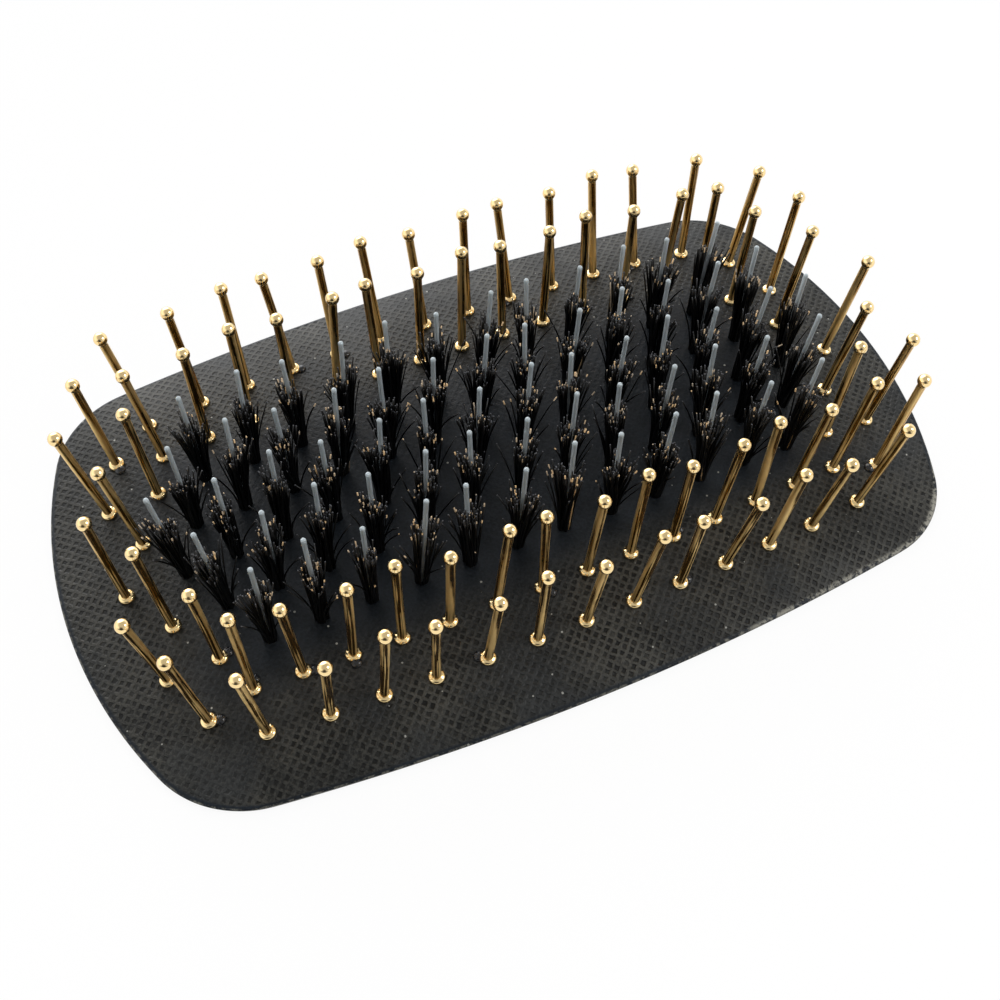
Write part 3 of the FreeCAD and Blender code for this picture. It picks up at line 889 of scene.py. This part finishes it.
# %% Place the tufts
filament = filament_material()
for name in tuft_nodes:
    tips, axes = stems[name.replace("bristles_", "quills_")]
    points, quads, uv = tuft_row(tips, axes)
    piece = mesh_object(name + "_filaments", points, quads, uv=uv, material=filament)
    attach(piece, "root")
    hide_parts(name)
print("filaments in a tuft:", FILAMENTS)

# %% [markdown]
# ## Drops of glue
# The pins are held with a clear glue, and beads of it have dried beside about a third of
# the collars. Each is a low dome on the rubber, so it follows the crown's slope there.

# %% Resin material


def glue_material():
    """Clear set resin: nearly invisible but for the lights that it mirrors and bends."""
    material, tree = new_material("clear_resin")
    shader = add_node(tree, "ShaderNodeBsdfPrincipled", None,
                      {"Base Color": linear("#34363a"), "Roughness": 0.08, "IOR": 1.5,
                       "Transmission Weight": 0.6})
    finish_material(tree, shader.outputs[0])
    return material


# %% Domes beside the collars
DROP_RADIUS = 0.72 * MM
DROP_HEIGHT = 0.5 * MM
DROP_SINK = 0.05 * MM
DROP_SHARE = 0.3
DROP_SIDES = 20
DROP_STEPS = 7


def glue_drops():
    """Domes at a share of the pins: r = R cos a, z = H sin a, each turned to the rubber's
    slope at its own place, with the middle 1.0 to 1.3 mm from the wire's."""
    rise = np.linspace(0, math.pi / 2, DROP_STEPS)
    radii = np.concatenate([[0], DROP_RADIUS * np.cos(rise[:-1]), [0]])
    heights = np.concatenate([[-DROP_SINK], DROP_HEIGHT * np.sin(rise[:-1]), [DROP_HEIGHT]])
    tips = np.concatenate([stems[name][0] for name in pin_nodes])
    axes = np.concatenate([stems[name][1] for name in pin_nodes])
    picked = random.random(len(tips)) < DROP_SHARE
    feet = (tips - axes * (PIN_REACH + BALL_RADIUS))[picked]
    turn = random.uniform(0, 2 * math.pi, len(feet))
    reach = random.uniform(1.0, 1.3, len(feet)) * MM
    x = feet[:, 0] + reach * np.cos(turn)
    y = feet[:, 1] + reach * np.sin(turn)
    step = 0.05 * MM
    slope_x = (crown_height(x + step, y) - crown_height(x - step, y)) / (2 * step)
    slope_y = (crown_height(x, y + step) - crown_height(x, y - step)) / (2 * step)
    normals = np.stack([-slope_x, -slope_y, np.ones(len(x))], axis=-1)
    normals /= np.linalg.norm(normals, axis=-1, keepdims=True)
    places = np.stack([x, y, crown_height(x, y)], axis=-1)
    return planted(turned_profile(radii, heights, DROP_SIDES), places, normals, 0.0)


# %% Place the drops
drops = mesh_object("glue_drops", *glue_drops(), material=glue_material())
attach(drops, "root")
print("faces of the glue drops:", len(drops.data.polygons))

# %% [markdown]
# ## Stage and light
# The object lies on a plain white table. To the camera and in reflections the table glows
# white, and under that it is matt, so it keeps the object's soft shadow. The light is the
# room itself, with one soft panel from the right.

# %% Floor
FLOOR_HALF = 1.5
FLOOR_GLOW = 0.93
floor_material, floor_tree = new_material("white_table")
rays = add_node(floor_tree, "ShaderNodeLightPath")
seen = maths(floor_tree, "MAXIMUM", rays.outputs["Is Camera Ray"],
             rays.outputs["Is Glossy Ray"])
seen = maths(floor_tree, "MAXIMUM", seen, rays.outputs["Is Transmission Ray"])
white = add_node(floor_tree, "ShaderNodeBsdfDiffuse", None, {"Color": linear("#f2f2f2")})
glow = add_node(floor_tree, "ShaderNodeEmission", None,
                {"Color": linear("#ffffff"), "Strength": seen})
floor_glow = add_node(floor_tree, "ShaderNodeMixShader", None,
                      {0: FLOOR_GLOW, 1: white.outputs[0], 2: glow.outputs[0]})
finish_material(floor_tree, floor_glow.outputs[0])
corner_signs = np.array([[-1, -1], [1, -1], [1, 1], [-1, 1]])
floor_points = np.concatenate([corner_signs * FLOOR_HALF, np.full((4, 1), 0.0)], axis=1)
floor = mesh_object("table", floor_points, np.array([[0, 1, 2, 3]]), material=floor_material)
print("table half side in metres:", FLOOR_HALF)

# %% The room
# Seen by reflection, the room is white round the horizon, brightest low at the back, and
# greyer towards the ceiling. A dark screen in front makes the dark spot in every ball tip.
CEILING = (0.2, -0.2, 0.959)
DARK_SCREEN = (-0.425, -0.85, 0.31)
FLOOR_LINE = (-0.447, -0.894, 0.0)
BACK_LIGHT = (0.03, 0.9, 0.43)


def studio_world():
    """White for the camera. Other rays see a room with a grey ceiling and a dark screen."""
    world = bpy.data.worlds.new("studio")
    bpy.context.scene.world = world
    world.use_nodes = True
    tree = world.node_tree
    tree.nodes.clear()
    direction = add_node(tree, "ShaderNodeTexCoord").outputs["Generated"]
    upward = add_node(tree, "ShaderNodeSeparateXYZ", None, {0: direction}).outputs[2]

    def toward(goal):
        """How nearly a ray points at a goal: the dot product of the two directions."""
        return add_node(tree, "ShaderNodeVectorMath", {"operation": "DOT_PRODUCT"},
                        {0: direction, 1: goal}).outputs["Value"]

    room = ramp(tree, toward(CEILING), 0.2, 0.8, 1.25, 0.55)
    screen = ramp(tree, toward(DARK_SCREEN), 0.8, 0.975, 1.0, 0.08)
    shade = maths(tree, "MULTIPLY", ramp(tree, toward(FLOOR_LINE), 0.45, 0.85),
                  ramp(tree, upward, 0.12, 0.42, 1.0, 0.0))
    room = maths(tree, "MULTIPLY", room, screen)
    room = maths(tree, "MULTIPLY", room, maths(tree, "MULTIPLY_ADD", shade, -0.75, 1.0))
    room = maths(tree, "ADD", room, ramp(tree, toward(BACK_LIGHT), 0.8, 0.98, 0.0, 3.0))
    seen_directly = add_node(tree, "ShaderNodeLightPath").outputs["Is Camera Ray"]
    strength = add_node(tree, "ShaderNodeMix", {"data_type": "FLOAT"},
                        {0: seen_directly, 2: room, 3: 1.0}).outputs[0]
    light = add_node(tree, "ShaderNodeBackground", None,
                     {"Color": linear("#ffffff"), "Strength": strength})
    add_node(tree, "ShaderNodeOutputWorld", None, {"Surface": light.outputs[0]})


studio_world()
print("world:", bpy.context.scene.world.name)

# %% The window panel
PANEL_PLACE = (0.4, -0.24, 0.42)
PANEL_SIZE = 0.26
PANEL_POWER = 1.2


def panel(name, place, target, size, power):
    """A square light panel that faces a target point. Its sides run level and upward."""
    data = bpy.data.lights.new(name, "AREA")
    data.size = size
    data.energy = power
    lamp = bpy.data.objects.new(name, data)
    bpy.context.scene.collection.objects.link(lamp)
    away = np.array(place) - np.array(target)
    away = away / np.linalg.norm(away)
    across = np.cross([0.0, 0.0, 1.0], away)
    across /= np.linalg.norm(across)
    turn = np.eye(4)
    turn[:3, 0] = across
    turn[:3, 1] = np.cross(away, across)
    turn[:3, 2] = away
    turn[:3, 3] = place
    lamp.matrix_world = Matrix(turn.tolist())


panel("window_panel", PANEL_PLACE, (0, 0, 0), PANEL_SIZE, PANEL_POWER)
print("panel power in watts:", PANEL_POWER)

# %% View settings
bpy.context.scene.view_settings.view_transform = "Standard"
print("view transform:", bpy.context.scene.view_settings.view_transform)
